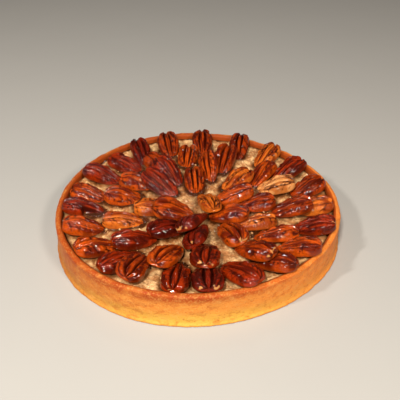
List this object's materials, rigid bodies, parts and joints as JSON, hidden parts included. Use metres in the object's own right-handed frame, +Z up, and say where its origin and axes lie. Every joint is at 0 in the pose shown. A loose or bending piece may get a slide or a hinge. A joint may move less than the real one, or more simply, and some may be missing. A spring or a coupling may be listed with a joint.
{
  "type": "pecan pie",
  "caption": "Straight-sided pecan tart: golden pastry crust, pale crumbly filling and overlapping rings of glazed pecan halves that point at the centre.",
  "frame": {"origin": "centre of the crust's flat base, on the surface it rests on", "axes": "+Z up through the tart, -Y towards the picture's camera, +X to its right"},
  "size_m": [0.2229, 0.2233, 0.039],
  "materials": {
    "crust": "baked shortcrust pastry, matt",
    "filling": "moist crumbly nut filling",
    "pecan": "roasted pecan under a clear glaze"
  },
  "bodies": {
    "root": {"crust": "crust", "filling": "filling", "pecan_centre_01": "pecan", "pecan_heart_01": "pecan", "pecan_heart_02": "pecan", "pecan_heart_03": "pecan", "pecan_heart_04": "pecan", "pecan_heart_05": "pecan", "pecan_inner_01": "pecan", "pecan_inner_02": "pecan", "pecan_inner_03": "pecan", "pecan_inner_04": "pecan", "pecan_inner_05": "pecan", "pecan_inner_06": "pecan", "pecan_inner_07": "pecan", "pecan_inner_08": "pecan", "pecan_inner_09": "pecan", "pecan_inner_10": "pecan", "pecan_middle_01": "pecan", "pecan_middle_02": "pecan", "pecan_middle_03": "pecan", "pecan_middle_04": "pecan", "pecan_middle_05": "pecan", "pecan_middle_06": "pecan", "pecan_middle_07": "pecan", "pecan_middle_08": "pecan", "pecan_middle_09": "pecan", "pecan_middle_10": "pecan", "pecan_middle_11": "pecan", "pecan_middle_12": "pecan", "pecan_middle_13": "pecan", "pecan_middle_14": "pecan", "pecan_rim_01": "pecan", "pecan_rim_02": "pecan", "pecan_rim_03": "pecan", "pecan_rim_04": "pecan", "pecan_rim_05": "pecan", "pecan_rim_06": "pecan", "pecan_rim_07": "pecan", "pecan_rim_08": "pecan", "pecan_rim_09": "pecan", "pecan_rim_10": "pecan", "pecan_rim_11": "pecan", "pecan_rim_12": "pecan", "pecan_rim_13": "pecan", "pecan_rim_14": "pecan", "pecan_rim_15": "pecan", "pecan_rim_16": "pecan", "pecan_rim_17": "pecan", "pecan_rim_18": "pecan", "pecan_rim_19": "pecan", "pecan_rim_20": "pecan", "pecan_rim_21": "pecan", "pecan_rim_22": "pecan"}
  },
  "joints": []
}
